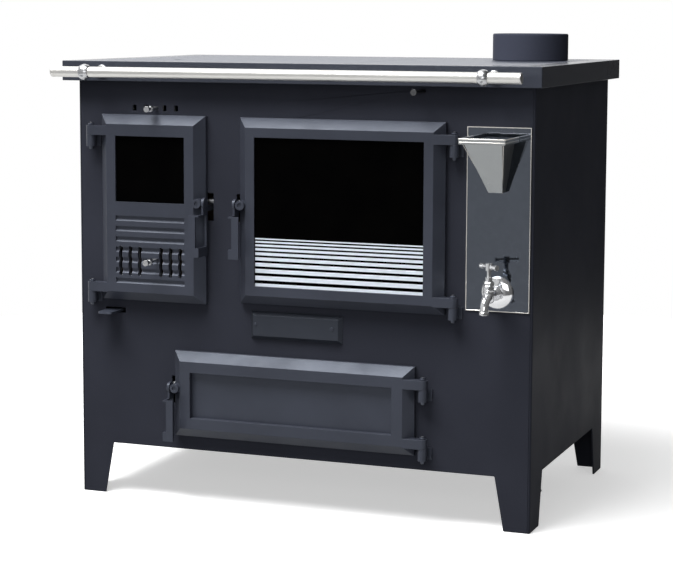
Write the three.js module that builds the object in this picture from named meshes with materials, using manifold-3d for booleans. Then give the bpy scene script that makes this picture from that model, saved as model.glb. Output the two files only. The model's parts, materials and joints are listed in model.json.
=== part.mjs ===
// A wood cookstove: sheet casing on cut-out legs, cast doors, hob, oven, ash pan and water set.
// Millimetres. X runs to the right, Y to the back and Z up. While it is built, X = 0 is the
// casing's left side, Y = 0 its front face and Z = 0 the floor.
import * as THREE from "three";
import { ConvexGeometry } from "three/addons/geometries/ConvexGeometry.js";
import { mergeVertices } from "three/addons/utils/BufferGeometryUtils.js";
import Module from "manifold-3d";

const wasm = await Module();
wasm.setup();

// ---------- driving dimensions ----------

const seat = 0.3; // gap between pieces that touch
const bodyWidth = 914;
const bodyDepth = 567;
const topHeight = 850;
const sheet = 3;
const foldRadius = 4;
const legHeight = 101;
const legTopWidth = 68;
const legFootWidth = 50;
const sideLegTopWidth = 85;
const sideLegFootWidth = 64;
const foldReturn = 12; // width of the side sheets' edges folded in behind the front and back

const skirtHeight = 38;
const skirtWall = 4;
const sideOverhang = 19;
const frontOverhang = 31;
const backOverhang = 15;
const deckThickness = 10;
const plateBorder = 43;
const plateThickness = 6;
const plateLedge = 8;
const plateSeam = 1.5;
const leftPlateWidth = 247;
const middlePlateWidth = 277;
const lidRadius = 110;
const lidStep = 3;
const lidLedge = 9;
const roundSegments = 40; // of the lid and the flue collar
const lidX = 148;
const lidY = 215;
const lifterInset = 30; // from the lid's front edge to the middle of the lifter's slot
const lifterSlot = { width: 12, length: 28 };

const flueInset = 127; // from the casing's right side to the collar's axis
const flueX = bodyWidth - flueInset;
const flueY = 426;
const flueRadius = 75;
const flueHeight = 53;
const flueWall = 3;
const flueSpigotDepth = 5;
const flueRimHeight = 3;
const flueRimStep = 1;

const railRadius = 10;
const railOverrun = 2; // beyond the casing at each end
const railLength = bodyWidth + 2 * railOverrun;
const railReach = 71; // from the skirt's face to the rail's axis
const railZ = 831;
const collarInset = 69.5; // from a rail end to its collar
const collarRadius = 15;
const collarHalfWidth = 9;
const postRadius = 5;
const rosetteRadius = 12;
const rosetteThickness = 4;

const doorGap = 1.5; // between a door's back and the casing
const doorLip = 8.5;
const doorBevel = 18;
const doorWall = 8;
const doorRim = 20; // width of a door's hollow-backed rim at its back
const glassThickness = 4;
const glassLap = 7;
const mouthInset = 21; // from a door's edge to the mouth behind it

const fireDoorLeft = 54.5;
const fireDoorWidth = 219.5;
const fireDoorBottom = 388.5;
const fireDoorHeight = 359.5;
const fireGlassLeft = 37;
const fireGlassWidth = 145.5;
const fireGlassBottom = 192.5;
const fireGlassHeight = 126.5;
const grooveCount = 7;
const groovePitch = 20.1;
const grooveHeight = 10;
const grooveDepth = 3.5; // also the height of its sloping lower side
const grooveFieldBottom = 35;
const airSlotWidth = 7;
const airSlotBottom = 49.5;
const airSlotHeight = 57.5;
const airSlotPitch = 20.2;
const airSlotFirst = 22.5; // from the field's middle to the first slot on either side
const airTravel = 10;
const airKnobX = 13; // from the field's middle to the knob
const airKnobReach = 47;
const knobRadius = 5.8;
const knobDisc = 6.5; // thickness of each of a knob's two discs
const knobNeck = 9;
const knobWaistRadius = 4.2;
const knobRodRadius = 2.5;
const sliderThickness = 3;

const ovenDoorLeft = 345;
const ovenDoorMargin = 163.5; // from the door to the casing's right side
const ovenDoorWidth = bodyWidth - ovenDoorLeft - ovenDoorMargin;
const ovenDoorBottom = 395.5;
const ovenDoorHeight = 352;
const ovenGlassInset = 36;
const ashDoorLeft = 207.5;
const ashDoorMargin = 219.5;
const ashDoorWidth = bodyWidth - ashDoorLeft - ashDoorMargin;
const ashDoorBottom = 129.5;
const ashDoorHeight = 166.5;
const ashRecessInset = 39;
const ashRecessDepth = 12;
const ashMouthInset = 11;
const floorTop = 139; // the floor plate that the ash pan stands on

const hingeOffset = 19; // from a door's edge to its pin
const knuckleRadius = 9;
const armHeight = 18;
const bracketHeight = 22;
const pinRadius = 4;
const pinHeadRadius = 5.5;
const pinHeadHeight = 5;
const pinTail = 6;
const bracketFoot = 26;
const bracketFootThickness = 3;
const upperArmDrop = 22; // from a door's top to the top of its upper arm
const lowerArmRise = 16;

const latchRise = 195; // from the fire door's bottom to the pivots of its latch and the oven's
const ashLatchRise = 96;
const latchReach = 25; // from the casing's face to a latch's pivot
const latchGap = 1.2;
const latchThickness = 4;
const hubRadius = 11;
const bossRadius = 9;
const bossReach = 10; // from a latch's pivot to the front of the boss that holds it
const bossDimple = 4.5;
const studRadius = 4;
const studLength = 12; // in the boss
const gripTop = 20;
const gripBottom = 99.5;
const gripReach = 31; // from the pivot to the grip's front
const gripFlange = 21;
const neckWidth = 19;
const windowHeight = 59;
const windowTop = 3; // below the grip's top
const keeperRadius = 5;
const keeperLength = 34;
const keeperRise = 1.5;
const keeperTabWidth = 8;
const latchSlotWidth = 16;
const latchSlotBelow = 35;
const latchSlotAbove = 18;
const toothWidth = 6;

// ---------- materials ----------

function paint(color, roughness, metalness) {
  return new THREE.MeshStandardMaterial({ color, roughness, metalness });
}
const casingPaint = () => paint(0x32363f, 0.55, 0.3);
const castPaint = () => paint(0x3c3f48, 0.6, 0.35);
const hobIron = () => paint(0x55585e, 0.5, 0.5);
const steel = () => paint(0xb9bcc0, 0.25, 1);
const chrome = () => paint(0xcfd2d6, 0.12, 1);
const mirror = () => paint(0x9a9da3, 0.08, 1);
const darkGlass = () => paint(0x050506, 0.05, 0);
const brick = () => paint(0xb59f82, 0.9, 0);
const blackSheet = () => paint(0x1f2023, 0.6, 0.5);
const zinc = () => paint(0x8a8c8f, 0.45, 0.8);

// ---------- solids ----------

function solid(geometry) {
  const bare = geometry.index ? geometry.toNonIndexed() : geometry.clone();
  for (const name of Object.keys(bare.attributes)) {
    if (name !== "position") bare.deleteAttribute(name);
  }
  const merged = mergeVertices(bare, 1e-4);
  return new wasm.Manifold(
    new wasm.Mesh({
      numProp: 3,
      vertProperties: merged.attributes.position.array,
      triVerts: new Uint32Array(merged.index.array),
    }),
  );
}

function joined(...pieces) {
  return pieces.flat().reduce((a, b) => a.add(b));
}

function cut(shape, ...tools) {
  return tools.flat().reduce((a, b) => a.subtract(b), shape);
}

function block([x0, x1], [y0, y1], [z0, z1]) {
  const geometry = new THREE.BoxGeometry(x1 - x0, y1 - y0, z1 - z0);
  return solid(geometry.translate((x0 + x1) / 2, (y0 + y1) / 2, (z0 + z1) / 2));
}

function shapeOf(points) {
  return new THREE.Shape(points.map(([a, b]) => new THREE.Vector2(a, b)));
}

// An outline in X and Z, between two depths.
function frontPlate(shape, [y0, y1], curveSegments = 12) {
  const geometry = new THREE.ExtrudeGeometry(shape, {
    depth: y1 - y0,
    bevelEnabled: false,
    curveSegments,
  });
  return solid(geometry.rotateX(Math.PI / 2).translate(0, y1, 0));
}

// An outline in Y and Z, between two places along X.
function sidePlate(shape, [x0, x1]) {
  const geometry = new THREE.ExtrudeGeometry(shape, {
    depth: x1 - x0,
    bevelEnabled: false,
    curveSegments: 4,
  });
  const turn = new THREE.Matrix4().makeBasis(
    new THREE.Vector3(0, 1, 0),
    new THREE.Vector3(0, 0, 1),
    new THREE.Vector3(1, 0, 0),
  );
  return solid(geometry.applyMatrix4(turn).translate(x0, 0, 0));
}

// A round bar from one point to another, tapered when the second radius differs.
function rod(radius, from, to, segments = 20, endRadius = radius) {
  const a = new THREE.Vector3(...from);
  const b = new THREE.Vector3(...to);
  const geometry = new THREE.CylinderGeometry(endRadius, radius, a.distanceTo(b), segments);
  const along = b.clone().sub(a).normalize();
  geometry.applyQuaternion(
    new THREE.Quaternion().setFromUnitVectors(new THREE.Vector3(0, 1, 0), along),
  );
  const middle = a.add(b).multiplyScalar(0.5);
  return solid(geometry.translate(middle.x, middle.y, middle.z));
}

// A turned piece: profile points are radius and height along the axis from a base point.
function turned(profile, base, along, segments = 32) {
  const geometry = new THREE.LatheGeometry(
    profile.map(([r, h]) => new THREE.Vector2(r, h)),
    segments,
  );
  geometry.applyQuaternion(
    new THREE.Quaternion().setFromUnitVectors(
      new THREE.Vector3(0, 1, 0),
      new THREE.Vector3(...along),
    ),
  );
  return solid(geometry.translate(...base));
}

function hull(points) {
  return solid(new ConvexGeometry(points.map((p) => new THREE.Vector3(...p))));
}

function corners([x0, x1], [z0, z1], y) {
  return [
    [x0, y, z0],
    [x1, y, z0],
    [x1, y, z1],
    [x0, y, z1],
  ];
}

function inset([a, b], by) {
  return [a + by, b - by];
}

function wider([a, b], by) {
  return [a - by, b + by];
}

// A slab with its front edges bevelled.
function bevelled(x, z, yBack, yEdge, bevel) {
  return hull([
    ...corners(x, z, yBack),
    ...corners(x, z, yEdge),
    ...corners(inset(x, bevel), inset(z, bevel), yEdge - bevel),
  ]);
}

// An upright slot with round ends, cut through a sheet.
function uprightSlot(x, [z0, z1], width, y) {
  const r = width / 2;
  const shape = new THREE.Shape();
  shape.absarc(x, z1 - r, r, 0, Math.PI);
  shape.absarc(x, z0 + r, r, Math.PI, 2 * Math.PI);
  return frontPlate(shape, y, 4);
}

const stove = new THREE.Group();

function add(name, shape, material) {
  const { vertProperties, triVerts } = shape.getMesh();
  const geometry = new THREE.BufferGeometry();
  geometry.setAttribute("position", new THREE.BufferAttribute(vertProperties, 3));
  geometry.setIndex(new THREE.BufferAttribute(triVerts, 1));
  const faceted = geometry.toNonIndexed();
  faceted.computeVertexNormals();
  const mesh = new THREE.Mesh(faceted, material);
  mesh.name = name;
  stove.add(mesh);
}

// ---------- casing ----------

const deckBottom = topHeight - deckThickness;
const skirtBottom = topHeight - skirtHeight;
const sheetTop = deckBottom - seat;
const panelY = [0, sheet];
const behindPanel = sheet + seat;
const cutY = [-1, sheet + 1];
const innerX = [sheet + seat, bodyWidth - sheet - seat];

// A sheet's outline between two legs, given where its edges and the casing's corners are.
function leggedShape([a0, a1], [full0, full1], topWidth, footWidth) {
  return shapeOf([
    [a0, 0],
    [full0 + footWidth, 0],
    [full0 + topWidth, legHeight],
    [full1 - topWidth, legHeight],
    [full1 - footWidth, 0],
    [a1, 0],
    [a1, sheetTop],
    [a0, sheetTop],
  ]);
}

const faceX = [foldRadius + seat, bodyWidth - foldRadius - seat];
const faceShape = leggedShape(faceX, [0, bodyWidth], legTopWidth, legFootWidth);

// A side sheet in plan: rounded corners and an edge folded in behind the front and the back.
function sidePanel() {
  const inner = behindPanel + sheet;
  const plan = new THREE.Shape();
  plan.moveTo(0, foldRadius);
  plan.absarc(foldRadius, foldRadius, foldRadius, Math.PI, 1.5 * Math.PI);
  plan.lineTo(foldRadius, behindPanel);
  plan.lineTo(foldRadius + foldReturn, behindPanel);
  plan.lineTo(foldRadius + foldReturn, inner);
  plan.lineTo(sheet, inner);
  plan.lineTo(sheet, bodyDepth - inner);
  plan.lineTo(foldRadius + foldReturn, bodyDepth - inner);
  plan.lineTo(foldRadius + foldReturn, bodyDepth - behindPanel);
  plan.lineTo(foldRadius, bodyDepth - behindPanel);
  plan.absarc(foldRadius, bodyDepth - foldRadius, foldRadius, 0.5 * Math.PI, Math.PI);
  const geometry = new THREE.ExtrudeGeometry(plan, {
    depth: sheetTop,
    bevelEnabled: false,
    curveSegments: 6,
  });
  const legs = leggedShape(
    [0, bodyDepth],
    [0, bodyDepth],
    sideLegTopWidth,
    sideLegFootWidth,
  );
  return solid(geometry).intersect(sidePlate(legs, [-1, foldRadius + foldReturn + 1]));
}

function door(left, width, bottom, height, hingeSide) {
  const x = [left, left + width];
  const z = [bottom, bottom + height];
  const latchSide = -hingeSide;
  return {
    x,
    z,
    hingeSide,
    latchSide,
    hingeX: hingeSide < 0 ? x[0] - hingeOffset : x[1] + hingeOffset,
    latchEdge: latchSide < 0 ? x[0] : x[1],
    arms: [
      [z[1] - upperArmDrop - armHeight, z[1] - upperArmDrop],
      [z[0] + lowerArmRise, z[0] + lowerArmRise + armHeight],
    ],
  };
}

const fire = door(fireDoorLeft, fireDoorWidth, fireDoorBottom, fireDoorHeight, -1);
const oven = door(ovenDoorLeft, ovenDoorWidth, ovenDoorBottom, ovenDoorHeight, 1);
const ash = door(ashDoorLeft, ashDoorWidth, ashDoorBottom, ashDoorHeight, 1);
fire.pivotZ = fireDoorBottom + latchRise;
oven.pivotZ = fire.pivotZ;
ash.pivotZ = ashDoorBottom + ashLatchRise;

const doorBack = -doorGap;
const doorEdge = doorBack - doorLip;
const doorFace = doorEdge - doorBevel;
const pinY = doorFace + knuckleRadius;

// The mouths of the fire and the oven share their lower and upper edges, and the fire's
// starts in line with the leg below it.
const mouthZ = [
  Math.max(fire.z[0], oven.z[0]) + mouthInset,
  Math.min(fire.z[1], oven.z[1]) - mouthInset,
];
const fireMouth = { x: [legTopWidth, fire.x[1] - mouthInset], z: mouthZ };
const ovenMouth = { x: inset(oven.x, mouthInset), z: mouthZ };
const ashMouth = { x: inset(ash.x, ashMouthInset), z: [floorTop, ash.z[1] - ashMouthInset] };

const keeperY = behindPanel + keeperRadius;
const leverMiddle = latchGap + latchThickness / 2;

function keeperPlace(d) {
  return d.latchEdge + d.latchSide * leverMiddle;
}

function latchSlot(d) {
  const x = keeperPlace(d);
  const half = latchSlotWidth / 2;
  return block([x - half, x + half], cutY, [d.pivotZ - latchSlotBelow, d.pivotZ + latchSlotAbove]);
}

// secondary air, above the fire door
const upperAirRise = 12.5; // from the fire door's top to the middle of the slots
const upperAirZ = fire.z[1] + upperAirRise;
const upperAirX = 164;
const upperAirSlot = { width: 8, height: 11.3 };
const upperAirOffsets = [-44, -19.3, 19.3, 44];
const upperAirRodX = 167.5;
const upperAirReach = 46;
const upperAirPlate = { width: 124, height: 22 };

function upperAirSlots(y) {
  const [w, h] = [upperAirSlot.width / 2, upperAirSlot.height / 2];
  return upperAirOffsets.map((o) =>
    block([upperAirX + o - w, upperAirX + o + w], y, [upperAirZ - h, upperAirZ + h]),
  );
}

// A slot in which a round rod of a slider runs from its place at rest towards -X.
function rodSlot(x, z, travel, y) {
  const r = knobRodRadius + seat;
  return block([x - travel - r, x + r], y, [z - r, z + r]);
}

const leverSlot = { x: [54, 97], z: [361, 371] };
const leverX = [60, 90];
const leverThickness = 4;
const leverReach = 48;
const damperInset = 209.5;
const damperX = bodyWidth - damperInset;
const damperZ = 802;
const damperRodRadius = 3;
const damperReach = 60;
const damperTravel = 60;
const damperRodLap = 60; // of the rod on its plate
const cover = { x: [363.8, 549.2], z: [327.5, 380.5] };
const coverThickness = 8;
const coverBevel = 7;
const coverLap = 14;
const tapInset = 65.7;
const tapX = bodyWidth - tapInset;
const tapZ = 441.5;
const tapBarrelRadius = 9;
const inletRadius = 8;
const inletZ = 641;

function casing() {
  const tapHole = rod(tapBarrelRadius + seat, [tapX, -1, tapZ], [tapX, sheet + 1, tapZ]);
  const inlet = rod(inletRadius, [tapX, -1, inletZ], [tapX, sheet + 1, inletZ]);
  const damperHole = rod(
    damperRodRadius + seat,
    [damperX, -1, damperZ],
    [damperX, sheet + 1, damperZ],
  );
  add(
    "front_panel",
    cut(
      frontPlate(faceShape, panelY),
      [fireMouth, ovenMouth, ashMouth].map((m) => block(m.x, cutY, m.z)),
      [fire, oven, ash].map(latchSlot),
      upperAirSlots(cutY),
      rodSlot(upperAirRodX, upperAirZ, airTravel, cutY),
      block(leverSlot.x, cutY, leverSlot.z),
      block(inset(cover.x, coverLap), cutY, inset(cover.z, coverLap)),
      tapHole,
      inlet,
      damperHole,
    ),
    casingPaint(),
  );
  const left = sidePanel();
  add("left_panel", left, casingPaint());
  add("right_panel", left.mirror([1, 0, 0]).translate([bodyWidth, 0, 0]), casingPaint());
  add("back_panel", frontPlate(faceShape, [bodyDepth - sheet, bodyDepth]), casingPaint());
  const coverEdge = coverBevel - coverThickness;
  add("cleanout_cover", bevelled(cover.x, cover.z, -seat, coverEdge, coverBevel), castPaint());
}

// ---------- hob ----------

const topX = [-sideOverhang, bodyWidth + sideOverhang];
const topY = [-frontOverhang, bodyDepth + backOverhang];
const plateY = [topY[0] + plateBorder, topY[1] - plateBorder];
const plateEdge = topX[0] + plateBorder;
const rightPlateEnd = topX[1] - plateBorder;
const seams = [plateEdge + leftPlateWidth, plateEdge + leftPlateWidth + middlePlateWidth];
const plateZ = [topHeight - plateThickness, topHeight];
const plates = [
  ["hob_plate_left", [plateEdge, seams[0]]],
  ["hob_plate_middle", seams],
  ["hob_plate_right", [seams[1], rightPlateEnd]],
];

const guideThickness = 5;
const guideLip = 6;
const damperPlateReach = { left: 93, right: 81, depth: 88 }; // from the flue collar's axis
const damperPlate = {
  x: [flueX - damperPlateReach.left, flueX + damperPlateReach.right],
  y: [flueY - damperPlateReach.depth, flueY + damperPlateReach.depth],
};
const damperPlateThickness = 3;

// Cast guides under the right hob plate, in which the damper plate slides.
function damperGuides() {
  const top = plateZ[0];
  const rest = damperZ - damperPlateThickness / 2 - seat;
  const y = [damperPlate.y[0] - damperTravel, damperPlate.y[1]];
  const rail = (x0, side) => {
    const inner = x0 + side * seat;
    const outer = inner + side * guideThickness;
    const wall = [Math.min(inner, outer), Math.max(inner, outer)];
    const lipEnd = x0 - side * guideLip;
    const lip = [Math.min(lipEnd, outer), Math.max(lipEnd, outer)];
    return joined(
      block(wall, y, [rest - guideThickness, top + 1]),
      block(lip, y, [rest - guideThickness, rest]),
    );
  };
  return [rail(damperPlate.x[0], -1), rail(damperPlate.x[1], 1)];
}

function hob() {
  const spanZ = [deckBottom - 1, topHeight + 1];
  const openings = plates.map(([, x]) => block(inset(x, plateLedge), inset(plateY, plateLedge), spanZ));
  const rebateZ = [plateZ[0] - seat, topHeight + 1];
  const frame = cut(
    block(topX, topY, [skirtBottom, topHeight]),
    block(inset(topX, skirtWall), inset(topY, skirtWall), [skirtBottom - 1, deckBottom]),
    block([plateEdge - seat, rightPlateEnd + seat], wider(plateY, seat), rebateZ),
    openings,
  );
  add("cooktop_frame", frame, casingPaint());

  const half = plateSeam / 2;
  const bodies = plates.map(([, x], i) =>
    block([x[0] + (i > 0 ? half : 0), x[1] - (i < 2 ? half : 0)], plateY, plateZ),
  );
  const lidHole = joined(
    rod(
      lidRadius - lidLedge,
      [lidX, lidY, plateZ[0] - 1],
      [lidX, lidY, topHeight + 1],
      roundSegments,
    ),
    rod(
      lidRadius + seat,
      [lidX, lidY, topHeight - lidStep - seat],
      [lidX, lidY, topHeight + 1],
      roundSegments,
    ),
  );
  const spigotRadius = flueRadius - flueWall;
  const flueHole = rod(
    spigotRadius + seat,
    [flueX, flueY, plateZ[0] - 1],
    [flueX, flueY, topHeight + 1],
    roundSegments,
  );
  bodies[0] = cut(bodies[0], lidHole);
  bodies[2] = cut(joined(bodies[2], damperGuides()), flueHole);
  plates.forEach(([name], i) => add(name, bodies[i], hobIron()));

  const lid = turned(
    [
      [0, plateZ[0] - topHeight],
      [lidRadius - lidLedge - seat, plateZ[0] - topHeight],
      [lidRadius - lidLedge - seat, -lidStep],
      [lidRadius, -lidStep],
      [lidRadius, 0],
      [0, 0],
    ],
    [lidX, lidY, topHeight],
    [0, 0, 1],
    roundSegments,
  );
  const lifterY = lidY - lidRadius + lifterInset;
  const lifter = block(
    wider([lidX, lidX], lifterSlot.width / 2),
    wider([lifterY, lifterY], lifterSlot.length / 2),
    [topHeight - lidStep, topHeight + 1],
  );
  add("hob_lid", cut(lid, lifter), hobIron());

  const [bore, spigot] = [spigotRadius - flueWall, spigotRadius];
  add(
    "flue_collar",
    turned(
      [
        [bore, -flueSpigotDepth],
        [spigot, -flueSpigotDepth],
        [spigot, seat],
        [flueRadius, seat],
        [flueRadius, flueHeight - flueRimHeight],
        [flueRadius - flueRimStep, flueHeight],
        [bore, flueHeight],
        [bore, -flueSpigotDepth],
      ],
      [flueX, flueY, topHeight],
      [0, 0, 1],
      roundSegments,
    ),
    casingPaint(),
  );
}

// ---------- towel rail ----------

const railMiddle = bodyWidth / 2;
const railY = topY[0] - railReach;

function towelRail() {
  const ends = [railMiddle - railLength / 2, railMiddle + railLength / 2];
  const edge = 1;
  add(
    "towel_rail",
    turned(
      [
        [0, 0],
        [railRadius - edge, 0],
        [railRadius, edge],
        [railRadius, railLength - edge],
        [railRadius - edge, railLength],
        [0, railLength],
      ],
      [ends[0], railY, railZ],
      [1, 0, 0],
      20,
    ),
    steel(),
  );
  for (const [name, side] of [["left", -1], ["right", 1]]) {
    const x = railMiddle + side * (railLength / 2 - collarInset);
    const steps = 5;
    const ball = [[0, -collarHalfWidth]];
    for (let i = 0; i <= steps; i++) {
      const h = collarHalfWidth * ((2 * i) / steps - 1);
      ball.push([Math.sqrt(collarRadius ** 2 - h ** 2), h]);
    }
    ball.push([0, collarHalfWidth]);
    const skirtFace = topY[0] - seat;
    const rosette = turned(
      [
        [0, 0],
        [rosetteRadius, 0],
        [rosetteRadius, rosetteThickness - 1],
        [rosetteRadius - 1, rosetteThickness],
        [0, rosetteThickness],
      ],
      [x, skirtFace, railZ],
      [0, -1, 0],
      16,
    );
    const bracket = joined(
      turned(ball, [x, railY, railZ], [1, 0, 0], 20),
      rod(postRadius, [x, railY, railZ], [x, skirtFace - 1, railZ], 12),
      rosette,
    );
    const bore = rod(railRadius + seat, [ends[0], railY, railZ], [ends[1], railY, railZ], 20);
    add("rail_bracket_" + name, cut(bracket, bore), steel());
  }
}

// ---------- doors, hinges and latches ----------

// The bevelled frame of a door, hollow behind, with its hinge arms and the latch's boss.
function doorFrame(d, wall) {
  const arms = d.arms.map((z) => {
    const faceStart = d.hingeSide < 0 ? d.x[0] + doorBevel : d.x[1] - doorBevel;
    const x = [Math.min(d.hingeX, faceStart), Math.max(d.hingeX, faceStart)];
    return joined(
      block(x, [doorFace, doorEdge], z),
      rod(knuckleRadius, [d.hingeX, pinY, z[0]], [d.hingeX, pinY, z[1]]),
    );
  });
  const bores = d.arms.map((z) =>
    rod(pinRadius + seat, [d.hingeX, pinY, z[0] - 1], [d.hingeX, pinY, z[1] + 1], 16),
  );
  const e = d.latchEdge;
  const s = d.latchSide;
  const bossX = e - s * bossRadius;
  const bossFront = -latchReach - bossReach;
  const boss = rod(bossRadius, [bossX, doorEdge, d.pivotZ], [bossX, bossFront, d.pivotZ]);
  const dimple = rod(
    bossDimple,
    [bossX, bossFront + bossDimple / 2, d.pivotZ],
    [bossX, bossFront - 1, d.pivotZ],
    12,
  );
  const studBore = rod(
    studRadius + seat,
    [e - s * (studLength + seat), -latchReach, d.pivotZ],
    [e + s, -latchReach, d.pivotZ],
    16,
  );
  return cut(
    joined(bevelled(d.x, d.z, doorBack, doorEdge, doorBevel), arms, boss),
    block(inset(d.x, doorRim), [doorFace + wall, doorBack + 1], inset(d.z, doorRim)),
    bores,
    studBore,
    dimple,
  );
}

function hinges(name, d) {
  d.arms.forEach(([armBottom, armTop], i) => {
    const place = name + (i === 0 ? "_upper" : "_lower");
    const z = [armBottom - seat - bracketHeight, armBottom - seat];
    const footY = [-seat - bracketFootThickness, -seat];
    const halfFoot = bracketFoot / 2;
    const halfWeb = knuckleRadius / 2;
    const bracket = joined(
      rod(knuckleRadius, [d.hingeX, pinY, z[0]], [d.hingeX, pinY, z[1]]),
      block([d.hingeX - halfWeb, d.hingeX + halfWeb], [pinY, footY[1]], z),
      block([d.hingeX - halfFoot, d.hingeX + halfFoot], footY, z),
    );
    const bore = rod(pinRadius + seat, [d.hingeX, pinY, z[0] - 1], [d.hingeX, pinY, z[1] + 1], 16);
    add("bracket_" + place, cut(bracket, bore), castPaint());
    const pinLength = armTop + seat - z[0] + pinTail;
    add(
      "pin_" + place,
      turned(
        [
          [0, 0],
          [pinRadius - 1, 0],
          [pinRadius, 1],
          [pinRadius, pinLength],
          [pinHeadRadius, pinLength],
          [pinHeadRadius, pinLength + pinHeadHeight - 1],
          [pinHeadRadius - 1, pinLength + pinHeadHeight],
          [0, pinLength + pinHeadHeight],
        ],
        [d.hingeX, pinY, z[0] - pinTail],
        [0, 0, 1],
        16,
      ),
      castPaint(),
    );
  });
}

// A lever that hangs on its pivot: a plate with its grip in front and its hook behind the panel.
function latch(name, d) {
  const e = d.latchEdge;
  const s = d.latchSide;
  const across = (from, to) => [
    Math.min(e + s * from, e + s * to),
    Math.max(e + s * from, e + s * to),
  ];
  const plateX = across(latchGap, latchGap + latchThickness);
  const pivot = [-latchReach, d.pivotZ];
  const front = pivot[0] - gripReach;
  const back = pivot[0] + hubRadius + latchGap;
  const top = d.pivotZ - gripTop;
  const bottom = d.pivotZ - gripBottom;
  const rollerBottom = d.pivotZ + keeperRise - keeperRadius;
  const armTop = rollerBottom - latchGap;
  const armBottom = armTop - hubRadius;
  const toothY = keeperY + keeperRadius + latchGap;
  const plate = new THREE.Shape();
  plate.moveTo(front, bottom);
  plate.lineTo(back - 4, bottom);
  plate.quadraticCurveTo(back, bottom, back, bottom + 4);
  plate.lineTo(back, armBottom);
  plate.lineTo(toothY + toothWidth, armBottom);
  plate.lineTo(toothY + toothWidth, d.pivotZ + keeperRise + keeperRadius - 2);
  plate.lineTo(toothY + toothWidth / 2, d.pivotZ + keeperRise + keeperRadius);
  plate.lineTo(toothY, d.pivotZ + keeperRise + keeperRadius);
  plate.lineTo(toothY, armTop);
  plate.lineTo(pivot[0] + hubRadius - 1, armTop);
  plate.lineTo(pivot[0] + hubRadius - 1, d.pivotZ);
  plate.lineTo(pivot[0] - neckWidth / 2 + 1, d.pivotZ);
  plate.lineTo(pivot[0] - neckWidth / 2 + 1, top);
  plate.lineTo(front, top);
  const hub = rod(
    hubRadius,
    [e + s * latchGap, ...pivot],
    [e + s * (latchGap + latchThickness + 1), ...pivot],
    32,
  );
  const stud = rod(studRadius, [e - s * studLength, ...pivot], [e + s * (latchGap + 1), ...pivot], 16);
  const flange = block(
    across(latchGap + latchThickness - gripFlange, latchGap + latchThickness),
    [front, front + latchThickness],
    [bottom, top],
  );
  const window = block(
    across(latchGap - 3, latchGap + latchThickness + 1),
    [front - 1, back - 6],
    [top - windowTop - windowHeight, top - windowTop],
  );
  add("latch_" + name, cut(joined(sidePlate(plate, plateX), hub, stud, flange), window), castPaint());

  // the roller that the hook catches behind the panel, on two tabs
  const x = keeperPlace(d);
  const z = d.pivotZ + keeperRise;
  const end = keeperLength / 2;
  const tabs = [-1, 1].map((side) => {
    const xs = [x + side * end, x + side * (end - keeperTabWidth)].sort((a, b) => a - b);
    return block(xs, [behindPanel, behindPanel + 2 * keeperRadius], [z - 8, z + 8]);
  });
  add(
    "keeper_" + name,
    joined(rod(keeperRadius, [x - end + 1, keeperY, z], [x + end - 1, keeperY, z], 16), tabs),
    zinc(),
  );
}

const fireGlass = {
  x: [fire.x[0] + fireGlassLeft, fire.x[0] + fireGlassLeft + fireGlassWidth],
  z: [fire.z[0] + fireGlassBottom, fire.z[0] + fireGlassBottom + fireGlassHeight],
};
const ovenGlass = { x: inset(oven.x, ovenGlassInset), z: inset(oven.z, ovenGlassInset) };
const glassY = [doorFace + doorWall / 2 + seat, doorFace + doorWall / 2 + seat + glassThickness];

// The opening for a glass and, behind it, the rebate that the glass lies in.
function glassCuts(glass) {
  return [
    block(glass.x, [doorFace - 1, 0], glass.z),
    block(
      wider(glass.x, glassLap + seat),
      [glassY[0] - seat, 0],
      wider(glass.z, glassLap + seat),
    ),
  ];
}

function addGlass(name, glass) {
  add(name, block(wider(glass.x, glassLap), glassY, wider(glass.z, glassLap)), darkGlass());
}

const grilleX = (fireGlass.x[0] + fireGlass.x[1]) / 2;
const airSlotZ = [fire.z[0] + airSlotBottom, fire.z[0] + airSlotBottom + airSlotHeight];
const airKnobZ = (airSlotZ[0] + airSlotZ[1]) / 2 + 4;
const airRodX = grilleX + airKnobX;
const airPlateZ = wider(airSlotZ, 8);
const airPlateY = [doorFace + doorWall + seat, doorFace + doorWall + seat + sliderThickness];

function airSlots(y) {
  const slots = [];
  for (const side of [-1, 1]) {
    for (let i = 0; i < 3; i++) {
      const x = grilleX + side * (airSlotFirst + i * airSlotPitch);
      slots.push(uprightSlot(x, airSlotZ, airSlotWidth, y));
    }
  }
  return slots;
}

// Guides on the fire door's back, above and below the air slider.
function airGuides() {
  const x = [fireGlass.x[0] - glassLap, fireGlass.x[1] + glassLap];
  const lip = 3;
  const rib = 4;
  const wallY = [doorFace + doorWall - 1, airPlateY[1] + seat + lip];
  const lipY = [airPlateY[1] + seat, airPlateY[1] + seat + lip];
  const [low, high] = airPlateZ;
  return [
    block(x, wallY, [low - seat - rib, low - seat]),
    block(x, lipY, [low - seat - rib, low + lip]),
    block(x, wallY, [high + seat, high + seat + rib]),
    block(x, lipY, [high - lip, high + seat + rib]),
  ];
}

// A slider's rod with its two-disc knob, from a plate at yBack to the knob's front.
function knob(x, z, yBack, yFront) {
  const waistStart = yFront + knobDisc;
  const waistEnd = waistStart + knobNeck;
  return joined(
    rod(knobRodRadius, [x, yBack, z], [x, yFront + 1, z], 10),
    rod(knobRadius, [x, waistStart, z], [x, yFront, z], 16),
    rod(knobWaistRadius, [x, waistEnd + 1, z], [x, waistStart - 1, z], 12),
    rod(knobRadius, [x, waistEnd + knobDisc, z], [x, waistEnd, z], 16),
  );
}

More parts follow.
